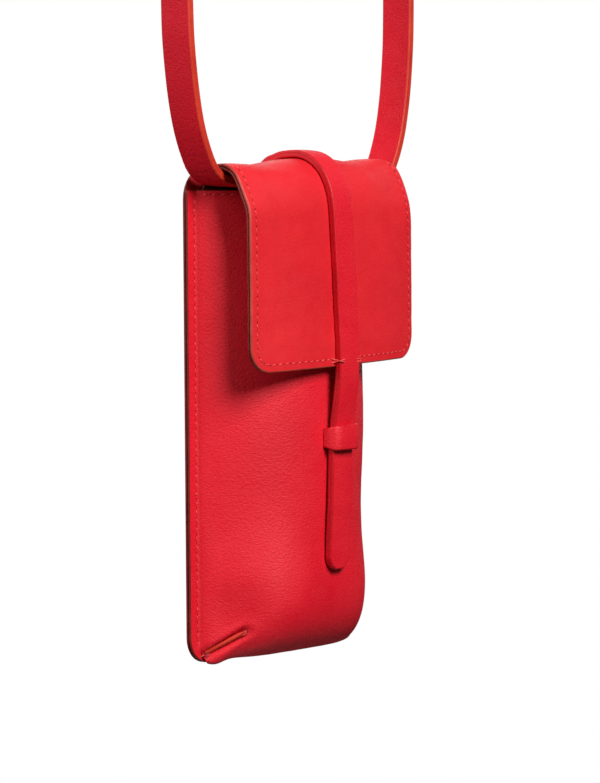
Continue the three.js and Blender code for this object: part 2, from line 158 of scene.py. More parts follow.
SIDE_STITCH_INSET = 3.2
MOUTH_STITCH_INSET = 1.8
BAR_TACK_HEIGHT = 115.6
STITCH_PITCH = 3.4
STITCH_HEIGHT = 0.3
STITCH_PLAY = 3
NEEDLE_HOLE_SIZE = (0.95, 0.42)
DART_FOOT = (45.2, 3.2)
DART_HEAD = (36.3, 11.5)
DART_FOOT_DEPTH = 2.8
DART_HEAD_DEPTH = 15.4
DART_PULL_BELOW = 1.3
DART_PULL_ABOVE = 2.4

SIDES = (("left", -1), ("right", 1))
FORWARD = (0.0, -1.0, 0.0)
BACKWARD = (0.0, 1.0, 0.0)
UPWARD = (0.0, 0.0, 1.0)


# ---- Small helpers ----
def place(x, depth, height):
    """Points of the frame, in metres, from x, depth and height in millimetres."""
    x, depth, height = np.broadcast_arrays(x, depth, height)
    return np.stack([MIDDLE_X + x * MM, BACK_Y - depth * MM, BOTTOM_Z + height * MM], -1).astype(float)


def clamp01(t):
    return np.clip(t, 0, 1)


def smooth(t):
    t = clamp01(t)
    return t * t * (3 - 2 * t)


def unit(v):
    return v / np.maximum(np.linalg.norm(v, axis=-1, keepdims=True), 1e-12)


def hump(t, width):
    """1 at t = 0, falling smoothly to nothing a few widths away."""
    return np.exp(-((t / width) ** 2))


def lengths_along(line):
    """How far along a line each of its points is."""
    steps = np.linalg.norm(np.diff(line, axis=0), axis=1)
    return np.concatenate([[0], np.cumsum(steps)])


def sample(line, along, places):
    """The line's values at those lengths along it."""
    return np.stack([np.interp(places, along, line[:, k]) for k in range(line.shape[1])], -1)


def rolling(u, v, length, seed):
    """A soft random surface between about -1 and 1, from a few waves of roughly that length."""
    rng = random.Random(seed)
    total = np.zeros(np.broadcast(u, v).shape)
    waves = 7
    for _ in range(waves):
        angle = rng.uniform(0, math.pi)
        number = 2 * math.pi / (length * rng.uniform(0.7, 1.5))
        shift = rng.uniform(0, 2 * math.pi)
        total += np.sin(number * (u * math.cos(angle) + v * math.sin(angle)) + shift)
    return total / math.sqrt(waves) / 1.4


# ---- Materials ----
class Nodes:
    """A material's node tree, with short calls to add to it."""

    def __init__(self, name):
        self.material = bpy.data.materials.new(name)
        self.material.use_nodes = True
        self.tree = self.material.node_tree
        self.shader = self.tree.nodes["Principled BSDF"]
        self.coordinates = self.add("ShaderNodeTexCoord").outputs["Object"]

    def add(self, kind, inputs=None, **properties):
        node = self.tree.nodes.new(kind)
        for key, value in properties.items():
            setattr(node, key, value)
        for key, value in (inputs or {}).items():
            if isinstance(value, bpy.types.NodeSocket):
                self.tree.links.new(value, node.inputs[key])
            else:
                node.inputs[key].default_value = value
        return node

    def noise(self, scale, detail=3.0, roughness=0.55, vector=None):
        names = ("Vector", "Scale", "Detail", "Roughness")
        inputs = dict(zip(names, (vector or self.coordinates, scale, detail, roughness)))
        return self.add("ShaderNodeTexNoise", inputs).outputs["Fac"]

    def stretched(self, scale):
        inputs = {"Vector": self.coordinates, "Scale": scale}
        return self.add("ShaderNodeMapping", inputs).outputs["Vector"]

    def cells(self, scale):
        inputs = {"Vector": self.coordinates, "Scale": scale}
        return self.add("ShaderNodeTexVoronoi", inputs, feature="SMOOTH_F1").outputs["Distance"]

    def ramp(self, value, stops):
        """A colour ramp with (place, colour) stops."""
        node = self.add("ShaderNodeValToRGB", {"Fac": value})
        elements = node.color_ramp.elements
        while len(elements) < len(stops):
            elements.new(0.5)
        for element, (position, colour) in zip(elements, stops):
            element.position = position
            element.color = (*colour, 1)
        return node.outputs["Color"]

    def between(self, value, low, high, new_low, new_high):
        names = ("Value", "From Min", "From Max", "To Min", "To Max")
        inputs = dict(zip(names, (value, low, high, new_low, new_high)))
        return self.add("ShaderNodeMapRange", inputs).outputs["Result"]

    def combine(self, operation, a, b):
        return self.add("ShaderNodeMath", {0: a, 1: b}, operation=operation).outputs["Value"]

    def tint(self, factor, base, other):
        node = self.add("ShaderNodeMix", data_type="RGBA")
        for key, value in (("Factor", factor), ("A", base), ("B", other)):
            socket = [s for s in node.inputs if s.name == key and s.enabled][0]
            if isinstance(value, bpy.types.NodeSocket):
                self.tree.links.new(value, socket)
            else:
                socket.default_value = (*value, 1) if key != "Factor" else value
        return [s for s in node.outputs if s.enabled][0]

    def bump(self, height, distance):
        return self.add("ShaderNodeBump", {"Height": height, "Distance": distance}).outputs["Normal"]

    def finish(self, colour, roughness, normal, gloss=0.5):
        for key, value in (("Base Color", colour), ("Roughness", roughness), ("Normal", normal)):
            self.tree.links.new(value, self.shader.inputs[key])
        self.shader.inputs["Specular IOR Level"].default_value = gloss
        return self.material


def leather(name, deep, body, light, grain=1.0, shine=0.58, gloss=0.44):
    """Dyed calf leather: fine pebbled grain, short creases across it, soft changes of colour, painted
    highlight on the raised creases and painted shade in the pits between pebbles.
    shine is its mean roughness, and gloss how strongly it mirrors light."""
    n = Nodes(name)
    clouds = n.noise(30, 3)
    colour = n.ramp(clouds, [(0.2, deep), (0.5, body), (0.8, light)])
    pebbles = n.cells(1300)
    creases = n.noise(620, 4, 0.65, n.stretched((1.0, 1.0, 3.0)))
    # Lighter on the raised creases: painted highlight.
    crease_highlight = n.between(creases, 0.35, 0.68, 0.0, 0.45)
    colour = n.tint(crease_highlight, colour, light)
    # Darker in the pits between pebbles: painted shade.
    pit_shade = n.between(pebbles, 0.35, 0.75, 0.0, 0.35)
    colour = n.tint(pit_shade, colour, deep)
    roughness = n.between(n.noise(160, 3), 0.3, 0.7, shine - 0.07, shine + 0.07)
    height = n.combine("SUBTRACT", n.between(creases, 0.3, 0.7, 0.0, 0.8), pebbles)
    normal = n.bump(height, 0.00008 * grain)
    return n.finish(colour, roughness, normal, gloss)


def painted_edge(name, dark, body, light):
    """Edge paint over cut leather: even, faintly ribbed and softly changing from place to place."""
    n = Nodes(name)
    colour = n.ramp(n.noise(90, 3), [(0.25, dark), (0.5, body), (0.75, light)])
    roughness = n.between(n.noise(500, 2), 0.3, 0.7, 0.42, 0.55)
    normal = n.bump(n.noise(700, 2), 0.00006)
    return n.finish(colour, roughness, normal, 0.35)


def woven(name, dark, light, pitch):
    """Plain-woven lining cloth of that pitch in metres."""
    n = Nodes(name)
    wave = 2 * math.pi / pitch / 20
    inputs = {"Vector": n.coordinates, "Scale": wave, "Distortion": 0.6, "Detail": 1.0}
    warp = n.add("ShaderNodeTexWave", inputs, bands_direction="X").outputs["Fac"]
    weft = n.add("ShaderNodeTexWave", inputs, bands_direction="Z").outputs["Fac"]
    weave = n.combine("MULTIPLY", warp, weft)
    colour = n.tint(weave, dark, light)
    roughness = n.between(n.noise(300), 0.3, 0.7, 0.75, 0.92)
    return n.finish(colour, roughness, n.bump(weave, 0.0002))


def sewing_thread(name, dark, light):
    """Waxed thread, whose plies show as fine diagonal ribs."""
    n = Nodes(name)
    inputs = {"Vector": n.coordinates, "Scale": 420.0, "Distortion": 1.0}
    plies = n.add("ShaderNodeTexWave", inputs, bands_direction="DIAGONAL").outputs["Fac"]
    colour = n.tint(n.between(n.noise(700), 0.35, 0.65, 0, 1), dark, light)
    roughness = n.between(plies, 0, 1, 0.42, 0.6)
    return n.finish(colour, roughness, n.bump(plies, 0.00008))


def needle_hole_painted_shade(name):
    """Painted shade for the dent that a needle leaves: a near-black colour standing in for the shade in
    it.
    """
    n = Nodes(name)
    colour = n.ramp(n.noise(900), [(0.3, (0.045, 0.0, 0.003)), (0.7, (0.12, 0.0, 0.006))])
    roughness = n.between(n.noise(500), 0.3, 0.7, 0.6, 0.8)
    return n.finish(colour, roughness, n.bump(n.noise(1200), 0.0001))


def grey_board(name):
    """Stiffening board, faintly fibrous."""
    n = Nodes(name)
    colour = n.ramp(n.noise(600, 5), [(0.3, (0.2, 0.19, 0.17)), (0.7, (0.33, 0.32, 0.29))])
    roughness = n.between(n.noise(200), 0.3, 0.7, 0.82, 0.95)
    return n.finish(colour, roughness, n.bump(n.noise(800, 5), 0.0001))


LEATHER_RED = leather(
    "leather_red", (0.66, 0.001, 0.013), (0.76, 0.002, 0.017), (0.83, 0.012, 0.026), grain=1.3,
)
# The flap's copy of the red leather, with more green and blue in it: painted sheen.
FLAP_RED_SHEEN = leather(
    "leather_red_flap_painted_sheen", (0.65, 0.006, 0.015), (0.75, 0.01, 0.019), (0.81, 0.018, 0.025), grain=0.6,
)
# The strap's copy of the red leather, made darker: painted shade.
STRAP_RED_SHADED = leather(
    "leather_red_strap_painted_shade", (0.56, 0.001, 0.012), (0.66, 0.002, 0.016), (0.73, 0.007, 0.02),
    grain=1.3, shine=0.6, gloss=0.2,
)
INNER_RED = leather(
    "leather_red_inner", (0.26, 0.001, 0.007), (0.37, 0.002, 0.009), (0.45, 0.006, 0.013),
    grain=0.7, shine=0.7,
)
EDGE_RED = painted_edge("edge_red", (0.5, 0.001, 0.009), (0.58, 0.002, 0.011), (0.66, 0.006, 0.014))
EDGE_ORANGE = painted_edge(
    "edge_orange", (0.53, 0.024, 0.011), (0.6, 0.036, 0.016), (0.68, 0.054, 0.024),
)
EDGE_TAN = painted_edge("edge_tan", (0.36, 0.03, 0.018), (0.46, 0.045, 0.028), (0.56, 0.07, 0.045))
# Dark brown edge paint: the lining layers' own edge colour, and on the pouch's sewn outer edges painted
# shade.
EDGE_BROWN_AND_SHADE = painted_edge("edge_brown_and_painted_shade", (0.13, 0.006, 0.004), (0.18, 0.01, 0.007), (0.24, 0.018, 0.012))
LINING = woven("lining_tan", (0.15, 0.06, 0.035), (0.3, 0.14, 0.09), 0.0006)
THREAD = sewing_thread("thread_coral", (0.78, 0.05, 0.045), (0.9, 0.12, 0.1))
# The needle holes' near-black colour is painted shade.
PAINTED_HOLE_SHADE = needle_hole_painted_shade("needle_hole_painted_shade")
BOARD = grey_board("stiffening_board")


# ---- Mesh making ----
def link(name, data):
    """A new object in the scene that shows this data."""
    item = bpy.data.objects.new(name, data)
    bpy.context.collection.objects.link(item)
    return item


def make_object(name, points, faces, materials, face_materials=None):
    mesh = bpy.data.meshes.new(name)
    mesh.from_pydata(np.asarray(points).tolist(), [], faces)
    for item in materials:
        mesh.materials.append(item)
    if face_materials is not None:
        mesh.polygons.foreach_set("material_index", face_materials)
    mesh.polygons.foreach_set("use_smooth", [True] * len(mesh.polygons))
    mesh.validate()
    mesh.update()
    return link(name, mesh)


def round_rim(thickness, out=None):
    """Profile of a rounded edge: (how far out, how far down) from the front face to the back face."""
    steps = 6
    reach = thickness / 2 if out is None else out
    angles = [math.pi * i / steps for i in range(1, steps)]
    return [(reach * math.sin(a), thickness / 2 * (1 - math.cos(a))) for a in angles]


def cut_rim(thickness, radius, groove):
    """Profile of a cut edge: small rounds at both faces, and between its two layers a fine groove."""
    arc = [math.pi / 2 * i / 3 for i in range(1, 4)]
    near = [(radius * math.sin(a), radius * (1 - math.cos(a))) for a in arc]
    far = [(out, thickness - down) for out, down in reversed(near)]
    half = thickness / 2
    lip = 0.28
    middle = [(radius, half - lip), (radius - groove, half), (radius, half + lip)]
    return near + middle + far


def grid_normals(points):
    """Unit normals of a grid of points, from its rows and columns."""
    down = np.gradient(points, axis=0)
    across = np.gradient(points, axis=1)
    return unit(np.cross(down, across))


def border(rows, columns):
    """The grid's outer places in order, and for each the place one step inside it."""
    top = [(0, c) for c in range(columns)]
    right = [(r, columns - 1) for r in range(1, rows)]
    bottom = [(rows - 1, c) for c in range(columns - 2, -1, -1)]
    left = [(r, 0) for r in range(rows - 2, 0, -1)]
    loop = top + right + bottom + left
    inside = [(min(max(r, 1), rows - 2), min(max(c, 1), columns - 2)) for r, c in loop]
    return np.array(loop), np.array(inside)


def solid_sheet(name, points, normals, thickness, rim, materials):
    """A closed sheet: a grid of front points, the same grid one thickness behind, and a rim between.
    materials are those of the front, the rim and the back."""
    rows, columns, _ = points.shape
    loop, inside = border(rows, columns)
    edge = points[loop[:, 0], loop[:, 1]]
    edge_normal = normals[loop[:, 0], loop[:, 1]]
    tangent = np.roll(edge, -1, axis=0) - np.roll(edge, 1, axis=0)
    outward = unit(np.cross(unit(tangent), edge_normal))
    inner = points[inside[:, 0], inside[:, 1]]
    if ((edge - inner) * outward).sum() < 0:
        outward = -outward
    behind = points - normals * thickness * MM
    rings = [edge + outward * out * MM - edge_normal * down * MM for out, down in rim]
    vertices = np.concatenate([points.reshape(-1, 3), behind.reshape(-1, 3), *rings])

    count = rows * columns
    faces, slots = [], []
    for r in range(rows - 1):
        for c in range(columns - 1):
            a, b = r * columns + c, (r + 1) * columns + c
            faces.append((a, a + 1, b + 1, b))
            slots.append(0)
            faces.append((count + a, count + b, count + b + 1, count + a + 1))
            slots.append(2)
    front_loop = [int(r * columns + c) for r, c in loop]
    ring_loops = [[2 * count + k * len(loop) + i for i in range(len(loop))] for k in range(len(rim))]
    loops = [front_loop, *ring_loops, [count + i for i in front_loop]]
    for upper, lower in zip(loops, loops[1:]):
        for i in range(len(loop)):
            j = (i + 1) % len(loop)
            faces.append((upper[i], lower[i], lower[j], upper[j]))
            slots.append(1)
    piece = make_object(name, vertices, faces, materials, slots)
    face_outward(piece)
    return piece


def face_outward(piece):
    """Turns every face of a closed mesh outwards."""
    cut = bmesh.new()
    cut.from_mesh(piece.data)
    bmesh.ops.recalc_face_normals(cut, faces=cut.faces)
    cut.to_mesh(piece.data)
    cut.free()


def resample(points, normals, pitch):
    """Evenly spaced points along a path, with their normals, directions and spacing."""
    along = lengths_along(points)
    count = max(int(round(along[-1] / pitch)), 1)
    middles = (np.arange(count) + 0.5) * along[-1] / count
    ups = unit(sample(normals, along, middles))
    ahead = sample(points, along, middles + pitch * 0.3)
    behind = sample(points, along, middles - pitch * 0.3)
    return sample(points, along, middles), ups, unit(ahead - behind), along[-1] / count


def tube_faces(rings, sides):
    """Faces of a tube made of rings of points, closed at both ends."""
    faces = []
    for r in range(rings - 1):
        for s in range(sides):
            a, b = r * sides + s, r * sides + (s + 1) % sides
            faces.append((a, b, b + sides, a + sides))
    faces.append(tuple(reversed(range(sides))))
    faces.append(tuple((rings - 1) * sides + s for s in range(sides)))
    return faces


def stitch_shape(length, width, height):
    """One stitch along X, up along Z: a fat middle whose ends dip into the leather."""
    rings, sides = 7, 8
    points = []
    for r in range(rings):
        t = -1 + 2 * r / (rings - 1)
        fat = max(math.sqrt(max(1 - abs(t) ** 2.6, 0)), 0.12)
        rise = height * 0.55 - height * 0.75 * abs(t) ** 3
        half_width, half_height = width / 2 * fat, height / 2 * fat
        for s in range(sides):
            a = 2 * math.pi * s / sides
            across, up = half_width * math.cos(a), rise + half_height * math.sin(a)
            points.append((t * length / 2, across, up))
    return np.array(points), tube_faces(rings, sides)


def hole_shade_shape(length, width):
    """A small disc sunk in the leather, its middle slightly raised, that carries a needle hole's
    painted shade.
    """
    sides = 8
    points = [(0, 0, 0.05)]
    for z in (0.02, -0.3):
        for s in range(sides):
            a = 2 * math.pi * s / sides
            points.append((length / 2 * math.cos(a), width / 2 * math.sin(a), z))
    faces = [(0, 1 + s, 1 + (s + 1) % sides) for s in range(sides)]
    for s in range(sides):
        t = (s + 1) % sides
        faces.append((1 + s, 1 + sides + s, 1 + sides + t, 1 + t))
    faces.append(tuple(1 + sides + s for s in reversed(range(sides))))
    return np.array(points), faces


def stitches(name, runs, pitch=STITCH_PITCH, slant=12, width=0.42, length_share=0.48):
    """Rows of separate stitches with a needle hole between each two, as one piece; each hole is a
    near-black disc of painted shade.
    runs are (points, normals) of the seam lines, in metres."""
    rng = random.Random(SEED)
    points, faces, slots = [], [], []
    total = 0
    for line, normals in runs:
        spots, ups, aheads, step = resample(line, normals, pitch * MM)
        for spot, up, ahead in zip(spots, ups, aheads):
            side = unit(np.cross(up, ahead))
            stitch = stitch_shape(step / MM * length_share, width, STITCH_HEIGHT)
            stitch_turn = slant + rng.uniform(-STITCH_PLAY, STITCH_PLAY)
            shapes = (
                (*stitch, stitch_turn, spot),
                (*hole_shade_shape(*NEEDLE_HOLE_SIZE), 2 * slant, spot + ahead * step / 2),
            )
            for kind, (shape, shape_faces, degrees, centre) in enumerate(shapes):
                turn = math.radians(degrees)
                x_axis = ahead * math.cos(turn) + side * math.sin(turn)
                y_axis = side * math.cos(turn) - ahead * math.sin(turn)
                points.append(centre + shape * MM @ np.array([x_axis, y_axis, up]))
                faces += [tuple(total + i for i in face) for face in shape_faces]
                slots += [kind] * len(shape_faces)
                total += len(shape)
    return make_object(name, np.concatenate(points), faces, [THREAD, PAINTED_HOLE_SHADE], slots)


def tube(line, normals, widths, heights, lift, sides=10):
    """Rings of an oval tube along a line that lies on a surface, closed at both ends."""
    ahead = unit(np.gradient(line, axis=0))
    side = unit(np.cross(normals, ahead))
    angles = np.linspace(0, 2 * math.pi, sides, endpoint=False)
    points = []
    for i in range(len(line)):
        centre = line[i] + normals[i] * lift * MM
        for a in angles:
            across = side[i] * math.cos(a) * widths[i] / 2 * MM
            points.append(centre + across + normals[i] * math.sin(a) * heights[i] / 2 * MM)
    return np.array(points), tube_faces(len(line), sides)


def finish_piece(piece, body, node):
    """Joins a piece to its CAD body and hides the CAD node it stands for.
    Pieces of the body "fold", the leather that rolls over from the pouch to the flap, are only baked in
    place."""
    if body == "fold":
        start, end = place(0, 0, BODY_HEIGHT), place(0, FOLD_ROLLS_TO_DEPTH, BODY_HEIGHT)
        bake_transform(piece)
    else:
        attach(piece, body)
    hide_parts(node)


# ---- Back of the pouch ----
def rounded_rows(half_width, bottom, top, bottom_radius, top_radius):
    """Rows of x and height that fill an outline with round corners."""
    columns, steps = 40, 70
    arc = np.linspace(0, math.pi / 2, 9)
    rise, inset = 1 - np.cos(arc), 1 - np.sin(arc)
    straight = np.linspace(bottom + bottom_radius, top - top_radius, steps)[1:-1]
    heights = np.concatenate([bottom + bottom_radius * rise, straight, top - top_radius * rise[::-1]])
    insets = np.concatenate([bottom_radius * inset, 0 * straight, top_radius * inset[::-1]])
    x = (half_width - insets)[:, None] * np.linspace(-1, 1, columns)
    return x, heights[:, None] + 0 * x


def flat_panel(name, outline, near, thickness, materials):
    """A flat leather, cloth or board panel that faces forward, its rear face at the near depth."""
    rim = round_rim(thickness)
    reach = max(out for out, _ in rim)
    half_width, bottom, top, bottom_radius, top_radius = outline
    x, z = rounded_rows(
        half_width - reach, bottom + reach, top - reach, bottom_radius - reach, top_radius - reach,
    )
    points = place(x, near + thickness, z)
    normals = np.broadcast_to(FORWARD, points.shape)
    return solid_sheet(name, points, normals, thickness, rim, materials)


def build_back():
    """The back's flat layers, each a gap in front of the one before."""
    outer = [INNER_RED, EDGE_BROWN_AND_SHADE, LEATHER_RED]
    inner = [INNER_RED, EDGE_BROWN_AND_SHADE, INNER_RED]
    layers = (
        ("back_leather", BACK_OUTLINE, LEATHER, outer, "leather", "back_panel"),
        ("back_board", BOARD_OUTLINE, BOARD_THICKNESS, [BOARD] * 3, "board", "back_stiffener"),
        ("back_lining_cloth", LINING_OUTLINE, CLOTH_THICKNESS, [LINING] * 3, "lining", "back_lining"),
        ("card_pocket_leather", POCKET_OUTLINE, POCKET_THICKNESS, inner, "leather", "card_pocket"),
    )
    near = 0
    for name, outline, thickness, materials, slot, node in layers:
        panel = flat_panel(name, outline, near, thickness, materials)
        finish_piece(panel, "pouch", node)
        near += thickness + GAP


# ---- Front panel ----
def half_width_at(height, half_width, bottom, radius):
    below = np.clip(bottom + radius - height, 0, radius)
    return half_width - radius + np.sqrt(radius * radius - below * below)


def pillow_half_width_at(height):
    straight = half_width_at(height, PILLOW_HALF_WIDTH, FLANGE_WIDTH, PILLOW_CORNER_RADIUS)
    taper = PILLOW_FOOT_TAPER * (1 - height / FLANGE_WIDTH)
    rim = PILLOW_HALF_WIDTH - PILLOW_CORNER_RADIUS - taper
    return np.where(height < FLANGE_WIDTH, rim, straight)


def dart_distance(x, height):
    """Distance from the dart's line, how far along it, 0 at its foot and 1 at its head, and whether
    the place is on its lower side."""
    foot, head = np.array(DART_FOOT), np.array(DART_HEAD)
    way = head - foot
    hung = height - belly_drop(x, height)
    along = ((np.abs(x) - foot[0]) * way[0] + (hung - foot[1]) * way[1]) / (way @ way)
    held = clamp01(along)
    off_x = np.abs(x) - foot[0] - held * way[0]
    off_height = hung - foot[1] - held * way[1]
    distance = np.hypot(off_x, off_height)
    below = off_x * way[1] - off_height * way[0] < 0
    return distance, along, below


def dart_depth(along):
    """The slot runs straight, so the leather beside it is drawn in to this depth."""
    return DART_FOOT_DEPTH + clamp01(along) * (DART_HEAD_DEPTH - DART_FOOT_DEPTH)


def front_depth(x, height):
    """Depth of the plain pillow: full in the middle, turned under at the bottom, eased at the mouth."""
    across = np.abs(x) / pillow_half_width_at(height)
    fullness = 3.2 - 0.85 * smooth((height - 15) / 55)
    under = clamp01((PILLOW_TURN_HEIGHT - height) / (PILLOW_TURN_HEIGHT - FLANGE_WIDTH))
    ease_run = MOUTH_HEIGHT - PILLOW_EASE_HEIGHT
    ease = 1 - MOUTH_EASE * smooth((height - PILLOW_EASE_HEIGHT) / ease_run)
    rise = (1 - np.minimum(across, 1) ** fullness) ** 0.9 * (1 - under ** 3) ** 0.7 * ease
    depth = FLANGE_DEPTH + PILLOW_DEPTH * rise
    return np.where((height <= FLANGE_WIDTH) | (across >= 1), FLANGE_DEPTH, depth)


def belly_drop(x, height):
    """How far the full lower part of the pillow hangs down in front of the sewn rim."""
    inside = smooth((1.0 - np.abs(x) / pillow_half_width_at(height)) / 0.05)
    below = smooth((height - FLANGE_WIDTH) / 3) * (1 - smooth((height - 9) / 25))
    corner = 1 + FULL_CORNER_SHARE * hump(x - FULL_CORNER_X, FULL_CORNER_SPREAD)
    return BELLY_DROP * inside * below * corner


def front_detail(x, height):
    """How far the leather stands off its plain shape: slack, swells, and the tuck at each dart."""
    inside = smooth((1.02 - np.abs(x) / pillow_half_width_at(height)) / 0.12)
    slack = 0.14 * rolling(x, height, 46, 3) + 0.03 * rolling(x, height, 11, 8)
    for size, swell_height, over_height, swell_x, over_x in PILLOW_SWELLS:
        across = hump(np.abs(x) - swell_x, over_x)
        slack = slack + size * across * hump(height - swell_height, over_height)
    distance, along, _ = dart_distance(x, height)
    ends = smooth((along + 0.2) / 0.3) * (1 - smooth((along - 1) / 0.12))
    tuck = -0.9 * hump(distance, 1.2) * ends
    pucker = 0.35 * hump(distance - 2.8, 1.5) * hump(along - 0.7, 0.7)
    return inside * slack + tuck + pucker


def front_points(x, height):
    """The pillow as it hangs, with the leather beside each dart drawn into the slot."""
    depth = front_depth(x, height)
    distance, along, below = dart_distance(x, height)
    ends = smooth((along + 0.15) / 0.2) * (1 - smooth((along - 0.95) / 0.3))
    held = hump(distance, np.where(below, DART_PULL_BELOW, DART_PULL_ABOVE)) * ends
    return place(x, depth + held * (dart_depth(along) - depth), height - belly_drop(x, height))


def front_normals(x, height):
    step = 0.4
    slope_x = (front_depth(x + step, height) - front_depth(x - step, height)) / (2 * step)
    slope_z = (front_depth(x, height + step) - front_depth(x, height - step)) / (2 * step)
    normals = np.stack([-slope_x, -np.ones_like(slope_x), -slope_z], -1)
    return unit(normals)


def detailed_front(x, z):
    """Points on the finished front face, with the outward direction there."""
    normals = front_normals(x, z)
    return front_points(x, z) + normals * (front_detail(x, z) * MM)[..., None], normals


def front_grid(inset):
    """Rows of x and height over the front panel and its sewn rim."""
    arc = np.linspace(0, math.pi / 2, 16)
    radius = BODY_BOTTOM_RADIUS - inset
    low = inset + radius * (1 - np.cos(arc))
    heights = np.concatenate([
        low, np.arange(10.6, 34, 0.8), np.arange(34, MOUTH_HEIGHT - 6, 1.6),
        np.linspace(MOUTH_HEIGHT - 5.5, MOUTH_HEIGHT - inset, 6),
    ])
    pillow = np.concatenate([np.linspace(0, 0.8, 34), np.linspace(0.81, 1, 24)])
    side = np.concatenate([pillow, 1 + np.linspace(0, 1, 9)[1:]])
    across = np.concatenate([-side[:0:-1], side])
    heights = heights[:, None]
    size = np.abs(across)
    inner = pillow_half_width_at(heights)
    outer = half_width_at(heights, BODY_HALF_WIDTH + EDGE_PROUD - inset, inset, radius)
    x = np.where(size <= 1, size * inner, inner + (size - 1) * (outer - inner)) * np.sign(across)
    return x, heights + 0 * x


def build_front():
    x, z = front_grid(LEATHER / 2)
    points, plain_normals = detailed_front(x, z)
    normals = grid_normals(points)
    if (normals * plain_normals).sum() < 0:
        normals = -normals
    front = solid_sheet(
        "front_leather", points, normals, LEATHER, round_rim(LEATHER),
        [LEATHER_RED, EDGE_BROWN_AND_SHADE, INNER_RED],
    )
    finish_piece(front, "pouch", "front_panel")

    share = np.linspace(-0.9, 0.9, 44)
    heights = np.concatenate([np.arange(20, 34, 1.5), np.arange(34, MOUTH_HEIGHT - 3, 3)])[:, None]
    x = share * pillow_half_width_at(heights)
    z = heights + 0 * x
    points, normals = detailed_front(x, z)
    sunk = LEATHER + LINING_CLEARANCE
    points = points - normals * sunk * MM
    lining = solid_sheet(
        "front_lining_cloth", points, normals, CLOTH_THICKNESS, round_rim(CLOTH_THICKNESS),
        [LINING] * 3,
    )
    finish_piece(lining, "pouch", "front_lining")


def dart_line(side, start, end, count, across=0.0):
    """Points in the bottom of a dart's slot, from one share of its length to another."""
    foot, head = np.array(DART_FOOT), np.array(DART_HEAD)
    way = head - foot
    sideways = np.array([way[1], -way[0]]) / np.hypot(*way)
    share = np.linspace(start, end, count)
    spots = foot + share[:, None] * way + across * sideways
    depth = DART_FOOT_DEPTH + share * (DART_HEAD_DEPTH - DART_FOOT_DEPTH)
    outward = unit(np.array([0.62 * side, -0.75, -0.25]))
    return place(side * spots[:, 0], depth, spots[:, 1]), np.tile(outward, (count, 1))


def build_darts():
    """Each dart's raw edge, which shows as a rib in its slot, and the stitches that lock its ends."""
    # where each lock stitch starts and ends along the slot, how far across, and how high it stands
    locks = ((-0.12, 0.06, 0, 0.5), (0.95, 1.1, -0.5, 0.3), (0.97, 1.12, 0.5, 0.3))
    for name, side in SIDES:
        count = 30
        t = np.linspace(-0.05, 1.05, count)
        line, normals = dart_line(side, t[0], t[-1], count)
        taper = np.sqrt(clamp01((1.06 - t) / 0.12))
        grow = np.sqrt(clamp01((t + 0.07) / 0.12))
        widths = 1.6 * taper * grow * (1 + 0.05 * np.sin(t * 31))
        points, faces = tube(line, normals, widths, 1.5 * taper * grow, -0.35)
        rib = make_object(f"dart_{name}_edge", points, faces, [EDGE_ORANGE])
        finish_piece(rib, "pouch", f"dart_{name}")

        runs = []
        for start, end, across, lift in locks:
            stitch_line, up = dart_line(side, start, end, 5, across)
            runs.append((stitch_line + up * lift * MM, up))
        lock = stitches(
            f"dart_{name}_lock", runs, pitch=2.2, slant=0, length_share=0.9, width=0.5,
        )
        finish_piece(lock, "pouch", f"dart_{name}_stitch")


def build_body_seams():
    x = BODY_HALF_WIDTH - SIDE_STITCH_INSET
    radius = BODY_BOTTOM_RADIUS - SIDE_STITCH_INSET
    centre = BODY_HALF_WIDTH - BODY_BOTTOM_RADIUS
    arc = np.linspace(0, math.pi / 2, 12)
    right = [(x, MOUTH_HEIGHT - 3)]
    for a in arc:
        corner = (centre + radius * math.cos(a), BODY_BOTTOM_RADIUS - radius * math.sin(a))
        right.append(corner)
    outline = np.array([(-u, h) for u, h in right] + right[::-1])
    line = place(outline[:, 0], FLANGE_DEPTH, outline[:, 1])
    normals = np.tile(FORWARD, (len(line), 1))
    seam = stitches("body_seam_stitches", [(line, normals)])
    finish_piece(seam, "pouch", "body_seam_thread")

    u = np.linspace(-PILLOW_HALF_WIDTH + 1.2, PILLOW_HALF_WIDTH - 1.2, 120)
    z = np.full_like(u, MOUTH_HEIGHT - MOUTH_STITCH_INSET)
    mouth = stitches("mouth_stitches", [detailed_front(u, z)])
    finish_piece(mouth, "pouch", "mouth_thread")


def build_keeper():
    """A leather band that bows over the closure strap, its feet a little narrower than its middle."""
    mirrored = [(-x, depth) for x, depth in reversed(KEEPER_HALF_ARCH[1:])]
    inner = np.array(mirrored + KEEPER_HALF_ARCH, float)
    route = catmull_rom(inner, 60)
    ahead = unit(np.gradient(route, axis=0))
    out = np.stack([-ahead[:, 1], ahead[:, 0]], -1)
    outer = route + out * KEEPER_THICKNESS
    reach = 0.6
    share = np.linspace(1, 0, 14)[:, None]
    foot = smooth((38.4 - outer[:, 1]) / 5)
    bottom = KEEPER_BOTTOM + reach + KEEPER_FOOT_TAPER * foot
    top = KEEPER_TOP - reach - KEEPER_FOOT_TAPER * foot + 0.05 * outer[:, 0]
    heights = bottom + (top - bottom) * share
    depth = outer[:, 1] + 0.25 * (1 - (2 * share - 1) ** 2)
    points = place(outer[:, 0], depth, heights)
    normals = np.stack([out[:, 0], -out[:, 1], 0 * out[:, 0]], -1) + np.zeros_like(points)
    keeper = solid_sheet(
        "keeper_leather", points, normals, KEEPER_THICKNESS, round_rim(KEEPER_THICKNESS, reach),
        [LEATHER_RED, EDGE_RED, INNER_RED],
    )
    finish_piece(keeper, "pouch", "keeper_loop")


